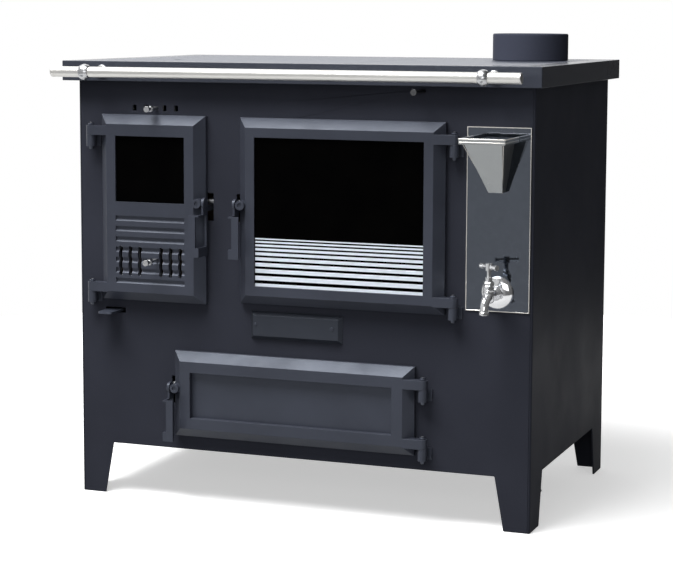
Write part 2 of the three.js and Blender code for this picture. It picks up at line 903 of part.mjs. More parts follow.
function fireDoor() {
  const grooves = [];
  for (let i = 0; i < grooveCount; i++) {
    const low = fire.z[0] + grooveFieldBottom + i * groovePitch;
    const high = low + grooveHeight;
    const profile = shapeOf([
      [doorFace - 1, low],
      [doorFace, low],
      [doorFace + grooveDepth, low + grooveDepth],
      [doorFace + grooveDepth, high],
      [doorFace - 1, high],
    ]);
    grooves.push(sidePlate(profile, fireGlass.x));
  }
  const through = [doorFace - 1, doorFace + doorWall + 1];
  add(
    "fire_door",
    cut(
      joined(doorFrame(fire, doorWall), airGuides()),
      glassCuts(fireGlass),
      grooves,
      airSlots(through),
      rodSlot(airRodX, airKnobZ, airTravel, through),
    ),
    castPaint(),
  );
  addGlass("fire_glass", fireGlass);
  const plate = block(inset(fireGlass.x, 4), airPlateY, airPlateZ);
  add(
    "primary_air_slider",
    joined(
      cut(plate, airSlots([airPlateY[0] - 1, airPlateY[1] + 1])),
      knob(airRodX, airKnobZ, airPlateY[1] - 1, doorFace - airKnobReach),
    ),
    steel(),
  );
  const w = upperAirPlate.width / 2;
  const h = upperAirPlate.height / 2;
  const upperPlate = block(
    [upperAirX - w, upperAirX + w],
    [behindPanel, behindPanel + sliderThickness],
    [upperAirZ - h, upperAirZ + h],
  );
  add(
    "secondary_air_slider",
    joined(
      cut(upperPlate, upperAirSlots([0, behindPanel + sliderThickness + 1])),
      knob(upperAirRodX, upperAirZ, behindPanel + 1, -upperAirReach),
    ),
    steel(),
  );
}

function ovenDoor() {
  add("oven_door", cut(doorFrame(oven, doorWall), glassCuts(ovenGlass)), castPaint());
  addGlass("oven_glass", ovenGlass);
}

function ashDoor() {
  const pocket = block(
    inset(ash.x, ashRecessInset),
    [doorFace - 1, doorFace + ashRecessDepth],
    inset(ash.z, ashRecessInset),
  );
  add("ash_door", cut(doorFrame(ash, ashRecessDepth + 6), pocket), castPaint());
}

// ---------- inside ----------

const clearOfFolds = behindPanel + sheet + seat;
const liner = { x: wider(ovenMouth.x, 1), z: wider(ovenMouth.z, 1) };
const linerWall = 2;
const ovenDepth = 500;
const carrierZ = [380, 388];
const brickThickness = 30;
const brickTop = 700;
const brickFront = 30;
const fireDepth = 340;
const fireX = [54, 278];
const grateX = [85, 255];
const grateY = [65, 305];
const grateRim = 12;
const grateBars = 9;
const grateHeight = 12;
const grateTravel = 25;
const carrierLap = 10;
const tabGap = 5; // from the carrier's opening to the grate's tab, pulled forward
const tabLength = 20;
const strapWidth = 16; // the lever's width where it runs inside the ash chute
const strapZ = [
  (leverSlot.z[0] + leverSlot.z[1] - leverThickness) / 2,
  (leverSlot.z[0] + leverSlot.z[1] + leverThickness) / 2,
];
const chuteFront = 55;
const chuteWall = 2;
const chuteClearance = 9;
const chuteUpright = 42; // from the carrier down to where the chute starts to slope
const chuteFootInset = 16;
const chuteMouth = 105;
const leverNarrowY = chuteFront - 10;
const floorZ = [floorTop - sheet, floorTop];
const panX = [232, 470];
const panY = [30, 420];
const panHeight = 92;
const panWall = 2;
const panGripWidth = 60;
const panGripHeight = 16;
const panGripReach = 16;
const panGripWall = 4;

function firebox() {
  const right = liner.x[0] - linerWall - seat;
  const carrier = cut(
    block([innerX[0], right], [clearOfFolds, fireDepth + 2 * brickThickness], carrierZ),
    block(
      inset(grateX, carrierLap),
      [grateY[0] + carrierLap, grateY[1] - grateTravel - carrierLap],
      wider(carrierZ, 1),
    ),
  );
  add("grate_carrier", carrier, hobIron());
  const z = [carrierZ[1] + seat, brickTop];
  const y = [brickFront, fireDepth];
  add("firebrick_left", block([fireX[0] - brickThickness, fireX[0]], y, z), brick());
  add("firebrick_right", block([fireX[1], fireX[1] + brickThickness], y, z), brick());
  add(
    "firebrick_back",
    block(
      [fireX[0] - brickThickness, fireX[1] + brickThickness],
      [fireDepth + seat, fireDepth + seat + brickThickness],
      z,
    ),
    brick(),
  );

  const grateZ = [carrierZ[1] + seat, carrierZ[1] + seat + grateHeight];
  const bars = [];
  const open = [grateX[0] + grateRim, grateX[1] - grateRim];
  const pitch = (open[1] - open[0]) / grateBars;
  for (let i = 0; i < grateBars; i++) {
    const x = open[0] + (i + 0.5) * pitch;
    bars.push(block([x - pitch / 4, x + pitch / 4], inset(grateY, grateRim), wider(grateZ, 1)));
  }
  const tabX = [open[0], open[0] + leverThickness];
  const tabStart = grateY[0] + grateTravel + carrierLap + tabGap;
  const tabY = [tabStart, tabStart + tabLength];
  const strap = new THREE.Shape();
  const round = 8;
  strap.moveTo(leverX[0], -leverReach + round);
  strap.quadraticCurveTo(leverX[0], -leverReach, leverX[0] + round, -leverReach);
  strap.lineTo(leverX[1] - round, -leverReach);
  strap.quadraticCurveTo(leverX[1], -leverReach, leverX[1], -leverReach + round);
  strap.lineTo(leverX[1], leverNarrowY);
  strap.lineTo(tabX[1], leverNarrowY);
  strap.lineTo(tabX[1], tabY[1]);
  strap.lineTo(tabX[1] - strapWidth, tabY[1]);
  strap.lineTo(tabX[1] - strapWidth, leverNarrowY);
  strap.lineTo(leverX[0], leverNarrowY);
  const lever = new THREE.ExtrudeGeometry(strap, {
    depth: leverThickness,
    bevelEnabled: false,
    curveSegments: 6,
  });
  add(
    "grate",
    joined(
      cut(block(grateX, grateY, grateZ), bars),
      solid(lever.translate(0, 0, strapZ[0])),
      block(tabX, tabY, [strapZ[1] - 1, grateZ[0] + 1]),
    ),
    hobIron(),
  );
}

// The trough that leads the ash from under the grate sideways into the pan.
function ashSpace() {
  const top = carrierZ[0] - seat;
  const wall = chuteWall;
  const low = floorTop + panHeight + chuteClearance;
  const left = grateX[0] - chuteClearance;
  const right = grateX[1] + chuteClearance;
  const slopeTop = top - chuteUpright;
  const slopeFoot = panX[0] + chuteFootInset;
  const guardFoot = slopeFoot + chuteMouth;
  const slope = shapeOf([
    [left, top],
    [left, slopeTop],
    [slopeFoot, low],
    [slopeFoot + wall, low],
    [left + wall, slopeTop + wall],
    [left + wall, top],
  ]);
  const guard = shapeOf([
    [right, top],
    [right, slopeTop],
    [guardFoot, low],
    [guardFoot + wall, low],
    [right + wall, slopeTop + wall],
    [right + wall, top],
  ]);
  const end = shapeOf([
    [left, top],
    [left, slopeTop],
    [slopeFoot, low],
    [guardFoot + wall, low],
    [right + wall, slopeTop + wall],
    [right + wall, top],
  ]);
  const y = [chuteFront, grateY[1]];
  const strapEnd = grateX[0] + grateRim + leverThickness;
  const strapWay = block(
    [strapEnd - strapWidth - 1, strapEnd + 1],
    [y[0] - 1, y[0] + wall + 1],
    wider(strapZ, 1.5),
  );
  const chute = joined(
    frontPlate(slope, y),
    frontPlate(guard, y),
    frontPlate(end, [y[0], y[0] + wall]),
    frontPlate(end, [y[1] - wall, y[1]]),
  );
  add("ash_chute", cut(chute, strapWay), blackSheet());
  add("floor_plate", block(innerX, [clearOfFolds, bodyDepth - clearOfFolds], floorZ), blackSheet());
  const panZ = [floorZ[1] + seat, floorZ[1] + seat + panHeight];
  const panMiddle = (panX[0] + panX[1]) / 2;
  const gripX = [panMiddle - panGripWidth / 2, panMiddle + panGripWidth / 2];
  const gripFront = panY[0] - panGripReach;
  const gripZ = wider([panZ[0] + panHeight / 2, panZ[0] + panHeight / 2], panGripHeight / 2);
  const grip = cut(
    block(gripX, [gripFront, panY[0] + panWall / 2], gripZ),
    block(inset(gripX, panGripWall), [gripFront + panGripWall, panY[0]], wider(gripZ, 1)),
  );
  add(
    "ash_pan",
    cut(
      joined(block(panX, panY, panZ), grip),
      block(inset(panX, panWall), inset(panY, panWall), [panZ[0] + panWall, panZ[1] + 1]),
    ),
    zinc(),
  );
}

const runnerZ = 520;
const runnerLedge = 12;
const runnerHeight = 20;
const runnerWall = 2;
const runnerY = [20, 480];
const rackY = [66, 466];
const rackRim = 3;
const rackBar = 2;
const rackBars = 13;

function ovenInside() {
  const shell = cut(
    block(wider(liner.x, linerWall), [behindPanel, ovenDepth], wider(liner.z, linerWall)),
    block(liner.x, [0, ovenDepth - linerWall], liner.z),
  );
  add("oven_box", shell, blackSheet());
  const left = joined(
    block([liner.x[0] + seat, liner.x[0] + seat + runnerWall], runnerY, [runnerZ, runnerZ + runnerHeight]),
    block([liner.x[0] + seat, liner.x[0] + seat + runnerLedge], runnerY, [runnerZ, runnerZ + runnerWall]),
  );
  const middle = (liner.x[0] + liner.x[1]) / 2;
  add("oven_runner_left", left, zinc());
  add("oven_runner_right", left.mirror([1, 0, 0]).translate([2 * middle, 0, 0]), zinc());

  const z = runnerZ + runnerWall + seat + rackRim;
  const margin = runnerWall + 2 * seat + rackRim;
  const x = [liner.x[0] + margin, liner.x[1] - margin];
  const y = inset(rackY, rackRim);
  const rim = joined(
    rod(rackRim, [x[0], rackY[0], z], [x[0], rackY[1], z], 8),
    rod(rackRim, [x[1], rackY[0], z], [x[1], rackY[1], z], 8),
    rod(rackRim, [x[0] - 1, y[0], z], [x[1] + 1, y[0], z], 8),
    rod(rackRim, [x[0] - 1, y[1], z], [x[1] + 1, y[1], z], 8),
  );
  const bars = [];
  for (let i = 1; i <= rackBars; i++) {
    const bx = x[0] + (i * (x[1] - x[0])) / (rackBars + 1);
    bars.push(rod(rackBar, [bx, y[0], z], [bx, y[1], z], 6));
  }
  add("oven_rack", joined(rim, bars), steel());
}

// ---------- damper ----------

function damper() {
  const t = damperPlateThickness / 2;
  const rodEnd = damperPlate.y[0] + damperRodLap;
  const plate = block(damperPlate.x, damperPlate.y, [damperZ - t, damperZ + t]);
  const front = -damperReach;
  add(
    "damper",
    joined(
      plate,
      rod(damperRodRadius, [damperX, rodEnd, damperZ], [damperX, front + 2, damperZ], 16),
      rod(knobRadius, [damperX, front + 6, damperZ], [damperX, front, damperZ]),
    ),
    zinc(),
  );
}

// ---------- water set ----------

const waterPlateWidth = 120;
const waterPlateInset = 6; // from the casing's right side
const plateRight = bodyWidth - waterPlateInset;
const plateX = [plateRight - waterPlateWidth, plateRight];
const waterPlateZ = [406, 740.7];
const waterPlateThickness = 2;
const funnelWidth = 86;
const funnelInset = 11; // from the plate's left edge
const funnelX = [plateX[0] + funnelInset, plateX[0] + funnelInset + funnelWidth];
const funnelReach = 92;
const funnelTop = 724;
const lipHeight = 10;
const funnelStep = 8;
const funnelWall = 1.5;
const spoutX = wider([tapX, tapX], 13);
const spoutReach = 24;
const spoutZ = 624;
const strainerHole = 3.5;
const strainerPitch = 12;
const tankInset = 2; // from the plate's left edge to the tank behind it
const tankWall = 1.5;
const tankBack = 540;
const escutcheon = { radius: 30, edge: 1.5, height: 9 };
const tapReach = 58;
const spoutOver = 28; // from the tap's axis forward to its spout's end
const spoutDrop = 29.5;
const spoutRadius = 7.5;
const spoutRingRadius = 9;
const spoutRingHeight = 7;
const tapBodyRadius = 9.75;
const tapBodyBelow = 12;
const tapBodyAbove = 19.5;
const bonnetRadius = 11.5;
const bonnetHeight = 16;
const handleRise = 18;
const stemRadius = 4;
const handleHubRadius = 6.5;
const handleBarRadius = 3.5;
const handleDiscRadius = 5;
const handleDiscWidth = 4;
const handleHalf = 22.5;
const handleTurn = (35 * Math.PI) / 180;

function waterSet() {
  const plateFront = -seat - waterPlateThickness;
  const through = [plateFront - 1, sheet + 1];
  add(
    "water_plate",
    cut(
      block(plateX, [plateFront, -seat], waterPlateZ),
      rod(tapBarrelRadius + seat, [tapX, through[0], tapZ], [tapX, through[1], tapZ]),
      rod(inletRadius, [tapX, through[0], inletZ], [tapX, through[1], inletZ]),
    ),
    mirror(),
  );

  const tankX = [plateX[0] + tankInset, bodyWidth - foldRadius - foldReturn - seat];
  const tankY = [behindPanel, tankBack];
  add(
    "water_tank",
    cut(
      block(tankX, tankY, waterPlateZ),
      block(inset(tankX, tankWall), inset(tankY, tankWall), inset(waterPlateZ, tankWall)),
      rod(tapBarrelRadius + seat, [tapX, 0, tapZ], [tapX, behindPanel + 5, tapZ]),
      rod(inletRadius, [tapX, 0, inletZ], [tapX, behindPanel + 5, inletZ]),
    ),
    steel(),
  );

  const back = plateFront - seat;
  const lipBottom = funnelTop - lipHeight;
  const hopperX = inset(funnelX, funnelStep);
  const hopperFront = -funnelReach + funnelStep;
  const ring = ([x0, x1], y0, y1, z) => [
    [x0, y0, z],
    [x1, y0, z],
    [x1, y1, z],
    [x0, y1, z],
  ];
  const w = funnelWall;
  const outer = hull([
    ...ring(hopperX, hopperFront, back, lipBottom + 0.5),
    ...ring(spoutX, -spoutReach, back, spoutZ + 6),
    ...ring(spoutX, -spoutReach, back, spoutZ),
  ]);
  const inner = hull([
    ...ring(inset(hopperX, w), hopperFront + w, 0, lipBottom + w + 1),
    ...ring(inset(spoutX, w), -spoutReach + w, 0, spoutZ + 6),
    ...ring(inset(spoutX, w), -spoutReach + w, 0, spoutZ + w),
  ]);
  add(
    "funnel",
    cut(
      joined(block(funnelX, [-funnelReach, back], [lipBottom, funnelTop]), outer),
      block(inset(funnelX, w), [-funnelReach + w, back + 1], [lipBottom + w, funnelTop + 1]),
      inner,
    ),
    steel(),
  );

  const sieveX = inset(funnelX, w + seat);
  const sieveY = [-funnelReach + w + seat, back - seat];
  const sieveZ = [lipBottom + w + seat, lipBottom + 2 * w + seat];
  const holes = [];
  for (let i = -2; i <= 2; i++) {
    for (let j = -2; j <= 2; j++) {
      const x = (sieveX[0] + sieveX[1]) / 2 + i * strainerPitch;
      const y = (sieveY[0] + sieveY[1]) / 2 + j * strainerPitch;
      holes.push(rod(strainerHole, [x, y, sieveZ[0] - 1], [x, y, sieveZ[1] + 1], 6));
    }
  }
  add("strainer", cut(block(sieveX, sieveY, sieveZ), holes), steel());

  // a quarter of an ellipse from the escutcheon's edge up to the barrel
  const dome = [];
  const domeSteps = 4;
  const domeWidth = escutcheon.radius - tapBarrelRadius - seat;
  for (let i = 0; i <= domeSteps; i++) {
    const angle = (i / domeSteps) * (Math.PI / 2);
    dome.push([
      tapBarrelRadius + seat + domeWidth * Math.cos(angle),
      escutcheon.edge + (escutcheon.height - escutcheon.edge) * Math.sin(angle),
    ]);
  }
  add(
    "tap_rosette",
    turned(
      [
        [tapBarrelRadius + seat, 0],
        [escutcheon.radius, 0],
        ...dome,
        [tapBarrelRadius + seat, 0],
      ],
      [tapX, back, tapZ],
      [0, -1, 0],
      28,
    ),
    chrome(),
  );

  const axis = -tapReach;
  const spoutY = axis - spoutOver;
  const spoutZEnd = tapZ - spoutDrop;
  const pathZ = tapZ - spoutRadius / 3;
  const path = new THREE.QuadraticBezierCurve3(
    new THREE.Vector3(tapX, axis, pathZ),
    new THREE.Vector3(tapX, spoutY, pathZ),
    new THREE.Vector3(tapX, spoutY, spoutZEnd + spoutRingHeight / 2),
  );
  const section = new THREE.Shape().absarc(0, 0, spoutRadius, 0, 2 * Math.PI);
  const spout = new THREE.ExtrudeGeometry(section, {
    steps: 8,
    extrudePath: path,
    bevelEnabled: false,
    curveSegments: 7,
  });
  const bodyTop = tapZ + tapBodyAbove;
  const bonnetTop = bodyTop + bonnetHeight;
  const onAxis = (z) => [tapX, axis, z];
  add(
    "tap_body",
    joined(
      rod(tapBarrelRadius, [tapX, behindPanel + tapBarrelRadius, tapZ], onAxis(tapZ)),
      rod(tapBodyRadius, onAxis(tapZ - tapBodyBelow), onAxis(bodyTop)),
      rod(bonnetRadius, onAxis(bodyTop - 1), onAxis(bonnetTop), 6),
      solid(spout),
      rod(spoutRingRadius, [tapX, spoutY, spoutZEnd + spoutRingHeight], [tapX, spoutY, spoutZEnd]),
    ),
    chrome(),
  );

  const barZ = bonnetTop + handleRise;
  const alongBar = (r) => [
    tapX + r * Math.cos(handleTurn),
    axis - r * Math.sin(handleTurn),
    barZ,
  ];
  const discs = [-1, 1].map((side) =>
    rod(
      handleDiscRadius,
      alongBar(side * (handleHalf - handleDiscWidth)),
      alongBar(side * handleHalf),
      16,
    ),
  );
  add(
    "tap_handle",
    joined(
      rod(stemRadius, onAxis(bonnetTop + seat), onAxis(barZ), 12),
      rod(handleHubRadius, onAxis(barZ - handleHubRadius), onAxis(barZ + handleHubRadius), 16),
      rod(handleBarRadius, alongBar(-handleHalf + 1), alongBar(handleHalf - 1), 12),
      discs,
    ),
    chrome(),
  );
}

casing();
hob();
towelRail();
fireDoor();
ovenDoor();
ashDoor();
hinges("fire", fire);
hinges("oven", oven);
hinges("ash", ash);
latch("fire", fire);
latch("oven", oven);
latch("ash", ash);
firebox();
ashSpace();
ovenInside();
damper();
waterSet();

// The origin is under the middle of the stove, between the rail's collars and the hob's back edge.
const stoveY = [railY - collarRadius, topY[1]];
stove.position.set(-railMiddle, -(stoveY[0] + stoveY[1]) / 2, 0);

export default stove;
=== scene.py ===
import json
import math

import bmesh
import bpy
from mathutils import Matrix, Vector


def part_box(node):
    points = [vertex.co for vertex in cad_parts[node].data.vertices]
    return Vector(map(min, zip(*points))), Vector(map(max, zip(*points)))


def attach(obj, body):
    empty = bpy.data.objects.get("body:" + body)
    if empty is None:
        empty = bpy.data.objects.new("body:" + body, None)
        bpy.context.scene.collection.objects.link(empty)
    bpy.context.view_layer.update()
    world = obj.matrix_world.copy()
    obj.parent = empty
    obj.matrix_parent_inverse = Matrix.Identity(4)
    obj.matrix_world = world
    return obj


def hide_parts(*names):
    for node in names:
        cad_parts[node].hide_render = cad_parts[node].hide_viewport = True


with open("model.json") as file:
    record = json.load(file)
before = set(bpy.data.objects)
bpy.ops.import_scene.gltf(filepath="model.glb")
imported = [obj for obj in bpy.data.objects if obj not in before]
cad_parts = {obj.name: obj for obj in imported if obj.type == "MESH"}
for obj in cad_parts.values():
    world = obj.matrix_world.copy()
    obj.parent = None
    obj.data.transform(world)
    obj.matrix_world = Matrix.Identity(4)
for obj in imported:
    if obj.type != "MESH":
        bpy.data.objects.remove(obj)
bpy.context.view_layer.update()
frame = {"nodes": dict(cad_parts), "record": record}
NODES = frame["nodes"]
MM = 0.001

# ---------------------------------------------------------------- camera

PHOTO_WIDTH = 673
PHOTO_HEIGHT = 575
PHOTO_FOCAL = 1958.0  # in pixels of the photograph
PHOTO_AXIS = 240.0  # pixels from the photograph's top to the camera's axis
SENSOR = 36.0
CAMERA_AT = Vector((1.3637, -3.6147, 0.9423))
CAMERA_YAW = math.radians(20.80)
CAMERA_PITCH = math.radians(6.609)
CAMERA_ROLL = math.radians(0.2)


def add_camera():
    data = bpy.data.cameras.new("camera")
    data.sensor_fit = "HORIZONTAL"
    data.sensor_width = SENSOR
    data.lens = PHOTO_FOCAL / PHOTO_WIDTH * SENSOR
    data.shift_y = (PHOTO_AXIS - PHOTO_HEIGHT / 2) / PHOTO_WIDTH
    data.clip_end = 50
    camera = bpy.data.objects.new("camera", data)
    turn = (
        Matrix.Rotation(CAMERA_YAW, 4, "Z")
        @ Matrix.Rotation(math.pi / 2 - CAMERA_PITCH, 4, "X")
        @ Matrix.Rotation(CAMERA_ROLL, 4, "Z")
    )
    camera.matrix_world = Matrix.Translation(CAMERA_AT) @ turn
    bpy.context.scene.collection.objects.link(camera)
    bpy.context.scene.camera = camera


# ---------------------------------------------------------------- materials


def srgb(r, g, b):
    """The linear colour of 8-bit screen values."""

    def linear(c):
        c /= 255
        return c / 12.92 if c <= 0.04045 else ((c + 0.055) / 1.055) ** 2.4

    return (linear(r), linear(g), linear(b), 1.0)


class Nodes:
    """The node tree of a material or a world, with short ways to add and link nodes."""

    def __init__(self, owner):
        owner.use_nodes = True
        self.tree = owner.node_tree

    def existing(self, name):
        return self.tree.nodes[name]

    def node(self, kind, **values):
        made = self.tree.nodes.new(kind)
        for key, value in values.items():
            setattr(made, key, value)
        return made

    def link(self, source, target):
        self.tree.links.new(source, target)

    def fed(self, socket, value):
        """Links a socket to an output, or sets it to a value."""
        if hasattr(value, "is_output"):
            self.link(value, socket)
        else:
            socket.default_value = value

    def maths(self, operation, first, second):
        made = self.node("ShaderNodeMath", operation=operation)
        self.fed(made.inputs[0], first)
        self.fed(made.inputs[1], second)
        return made.outputs[0]


class Surface(Nodes):
    """A procedural material on the principled shader."""

    def __init__(self, name):
        self.material = bpy.data.materials.new(name)
        super().__init__(self.material)
        self.shader = self.existing("Principled BSDF")
        self.place = self.node("ShaderNodeTexCoord").outputs["Object"]

    def stretched(self, scale):
        """Object coordinates, scaled on each axis."""
        mapping = self.node("ShaderNodeMapping")
        mapping.inputs["Scale"].default_value = scale
        self.link(self.place, mapping.inputs["Vector"])
        return mapping.outputs["Vector"]

    def noise(self, scale, detail=3.0, roughness=0.5, stretch=None):
        made = self.node("ShaderNodeTexNoise")
        made.inputs["Scale"].default_value = scale
        made.inputs["Detail"].default_value = detail
        made.inputs["Roughness"].default_value = roughness
        self.link(self.stretched(stretch) if stretch else self.place, made.inputs["Vector"])
        return made.outputs["Fac"]

    def cells(self, scale):
        made = self.node("ShaderNodeTexVoronoi", feature="F1")
        made.inputs["Scale"].default_value = scale
        self.link(self.place, made.inputs["Vector"])
        return made.outputs["Distance"]

    def ramp(self, source, stops):
        """A colour ramp through (position, colour) stops."""
        made = self.node("ShaderNodeValToRGB")
        elements = made.color_ramp.elements
        while len(elements) < len(stops):
            elements.new(0.5)
        for element, (position, colour) in zip(elements, stops):
            element.position = position
            element.color = colour
        self.link(source, made.inputs["Fac"])
        return made.outputs["Color"]

    def ranged(self, source, low, high, from_low=0.3, from_high=0.7):
        made = self.node("ShaderNodeMapRange")
        made.inputs["From Min"].default_value = from_low
        made.inputs["From Max"].default_value = from_high
        made.inputs["To Min"].default_value = low
        made.inputs["To Max"].default_value = high
        self.link(source, made.inputs["Value"])
        return made.outputs["Result"]

    def mixed(self, factor, first, second):
        made = self.node("ShaderNodeMix", data_type="RGBA", blend_type="MIX")
        self.fed(made.inputs[0], factor)
        self.fed(made.inputs[6], first)
        self.fed(made.inputs[7], second)
        return made.outputs[2]

    def bump(self, height, strength, distance, under=None):
        made = self.node("ShaderNodeBump")
        made.inputs["Strength"].default_value = strength
        made.inputs["Distance"].default_value = distance
        self.link(height, made.inputs["Height"])
        if under:
            self.link(under, made.inputs["Normal"])
        self.link(made.outputs["Normal"], self.shader.inputs["Normal"])
        return made.outputs["Normal"]

    def colour(self, source):
        self.link(source, self.shader.inputs["Base Color"])

    def rough(self, source):
        self.link(source, self.shader.inputs["Roughness"])

    def constant(self, **values):
        for key, value in values.items():
            self.shader.inputs[key.replace("_", " ")].default_value = value


COOL_TINT = (0.78, 0.86, 1.0, 1.0)  # of the paints' highlights


def scaled(colour, by):
    """A lighter or darker shade of a colour."""
    return (*[min(1.0, c * by) for c in colour[:3]], 1.0)


def powder_coat(name, colour, roughness=0.42, gloss=0.02):
    """Fine textured powder coat on sheet metal, with faint clouding and specks of dust."""
    s = Surface(name)
    clouds = s.noise(5, detail=4)
    specks = s.ranged(s.noise(700, detail=1), 0.0, 0.5, 0.66, 0.8)
    tone = s.ramp(clouds, [(0.3, scaled(colour, 0.9)), (0.7, scaled(colour, 1.1))])
    s.colour(s.mixed(specks, tone, scaled(colour, 1.8)))
    grain = s.noise(900, detail=2)
    s.rough(s.ranged(s.noise(9, detail=5), roughness - 0.04, roughness + 0.05))
    s.bump(grain, 0.12, 0.0004)
    s.constant(Metallic=0.0, Specular_IOR_Level=gloss, Specular_Tint=COOL_TINT)
    return s.material


def cast_paint(name, colour, roughness=0.4, gloss=0.4):
    """Painted sand casting: coarser grain, shallow unevenness and rubbed high spots."""
    s = Surface(name)
    clouds = s.noise(8, detail=5)
    rubbed = s.ranged(s.noise(60, detail=6, roughness=0.7), 0.0, 0.35, 0.58, 0.8)
    tone = s.ramp(clouds, [(0.3, scaled(colour, 0.88)), (0.7, scaled(colour, 1.12))])
    s.colour(s.mixed(rubbed, tone, scaled(colour, 1.5)))
    s.rough(s.ranged(s.noise(25, detail=5), roughness - 0.07, roughness + 0.07))
    uneven = s.bump(s.noise(28, detail=3), 0.12, 0.002)
    s.bump(s.noise(520, detail=3, roughness=0.6), 0.22, 0.0005, under=uneven)
    s.constant(Metallic=0.0, Specular_IOR_Level=gloss, Specular_Tint=COOL_TINT)
    return s.material


def ground_iron(name, colour, roughness=0.4):
    """Ground cast iron: fine grind marks and darker pores."""
    s = Surface(name)
    marks = s.noise(60, detail=6, roughness=0.7, stretch=(1, 16, 1))
    pores = s.ranged(s.cells(420), 0.0, 1.0, 0.02, 0.2)
    tone = s.ramp(marks, [(0.25, scaled(colour, 0.75)), (0.75, scaled(colour, 1.25))])
    s.colour(s.mixed(pores, scaled(colour, 0.5), tone))
    s.rough(s.ranged(marks, roughness - 0.08, roughness + 0.12))
    s.bump(marks, 0.1, 0.0003)
    s.constant(Metallic=0.55)
    return s.material


def brushed(name, colour, stretch, roughness=0.24, metallic=1.0, contrast=0.2, relief=0.06):
    """Steel with grinding lines, drawn out by the stretch on each axis."""
    s = Surface(name)
    lines = s.noise(90, detail=7, roughness=0.75, stretch=stretch)
    smudges = s.noise(14, detail=3)
    darker = scaled(colour, 1 - contrast)
    lighter = scaled(colour, 1 + contrast / 2)
    s.colour(s.ramp(lines, [(0.3, darker), (0.7, lighter)]))
    worn = s.maths("ADD", s.ranged(lines, 0, 0.1), s.ranged(smudges, -0.03, 0.04))
    s.rough(s.maths("ADD", worn, roughness))
    s.bump(lines, relief, 0.0003)
    s.constant(Metallic=metallic)
    return s.material


def polished(name, colour, roughness=0.07, metallic=1.0):
    """Plated or polished metal with faint ripples and fingerprints."""
    s = Surface(name)
    prints = s.noise(70, detail=6, roughness=0.7)
    s.colour(s.ramp(prints, [(0.3, scaled(colour, 0.92)), (0.75, scaled(colour, 1.05))]))
    s.rough(s.ranged(prints, roughness, roughness + 0.08, 0.45, 0.8))
    s.bump(s.noise(35, detail=2), 0.05, 0.001)
    s.constant(Metallic=metallic)
    return s.material


def dark_glass(name):
    """Opaque stove glass whose near-black colour is painted shade, the dark inside of the stove
    behind it, with a faint haze.
    """
    s = Surface(name)
    haze = s.noise(12, detail=5)
    clear = (0.0006, 0.0006, 0.0007, 1)
    painted_dark_hazed = (0.0014, 0.0013, 0.0012, 1)
    s.colour(s.ramp(haze, [(0.35, clear), (0.75, painted_dark_hazed)]))
    s.rough(s.ranged(haze, 0.03, 0.08))
    s.constant(Specular_IOR_Level=0.01)
    return s.material


def enamel(name, colour):
    """Printed ceramic ink, slightly uneven."""
    s = Surface(name)
    patches = s.noise(120, detail=4)
    s.colour(s.ramp(patches, [(0.3, scaled(colour, 0.93)), (0.7, colour)]))
    s.rough(s.ranged(patches, 0.28, 0.4))
    s.bump(s.noise(800, detail=2), 0.1, 0.0002)
    return s.material


SOOT = (0.02, 0.018, 0.016, 1)


def fired_clay(name, colour):
    """Rough fired clay with patches of soot."""
    s = Surface(name)
    body = s.noise(30, detail=8, roughness=0.7)
    soot = s.ranged(s.noise(6, detail=5), 0.0, 0.85, 0.42, 0.62)
    tone = s.ramp(body, [(0.3, scaled(colour, 0.7)), (0.7, scaled(colour, 1.15))])
    s.colour(s.mixed(soot, tone, SOOT))
    s.rough(s.ranged(body, 0.8, 0.97))
    s.bump(body, 0.5, 0.002)
    return s.material


CASING = srgb(54, 56, 65)
COVER = srgb(44, 47, 55)
CAST = srgb(56, 59, 69)
HOB_PAINT = srgb(56, 59, 68)
MATERIALS = {
    "casing_paint": powder_coat("casing_paint", CASING),
    "door_cast": cast_paint("door_cast", CAST),
    "hob_iron": ground_iron("hob_iron", srgb(74, 79, 92)),
    "firebrick": fired_clay("firebrick", srgb(182, 158, 128)),
    "dark_glass": dark_glass("dark_glass"),
    "chrome": polished("chrome", srgb(238, 239, 241), 0.06, 0.8),
    # polished_plate is a dark colour for polished steel: painted shade that darkens its
    # reflections of the pale studio
    "polished_plate": polished("polished_plate", srgb(104, 110, 120), 0.05),
    "zinc": brushed("zinc", srgb(150, 152, 155), (3, 1, 3), 0.38),
    "black_sheet": powder_coat("black_sheet", srgb(26, 26, 28), 0.6),
    "stainless": brushed("stainless", srgb(196, 197, 199), (1, 6, 6)),
}
COVER_CAST = cast_paint("cover_cast", COVER)
HOB_FRAME = powder_coat("hob_frame_paint", HOB_PAINT, 0.24, 0.2)
FLUE_PAINT = powder_coat("flue_paint", srgb(62, 65, 77), 0.5, 0.02)
# the door paint, glossier and lighter on the hinge pins: the lighter colour is a painted
# highlight
PIN_PAINT_LIGHTENED = cast_paint("pin_paint_lightened", srgb(72, 76, 88), 0.25, 0.8)
STRIPE_INK = enamel("stripe_ink", srgb(236, 244, 254))
RAIL_STEEL = brushed("rail_steel", srgb(214, 213, 210), (1, 60, 60), 0.3, 0.95, 0.04, 0.01)
FUNNEL_STEEL = brushed("funnel_steel", srgb(162, 165, 166), (30, 30, 1), 0.26, 0.85, 0.08, 0.02)
DARK_STEEL = brushed("dark_steel", srgb(96, 97, 99), (3, 3, 3), 0.3)
# near-white, half-diffuse steel for thin edge pieces: a painted highlight along the water plate's
# and the funnel's edges
EDGE_HIGHLIGHT_STEEL = polished("edge_highlight_steel", srgb(244, 240, 234), 0.15, 0.55)


# ---------------------------------------------------------------- CAD nodes

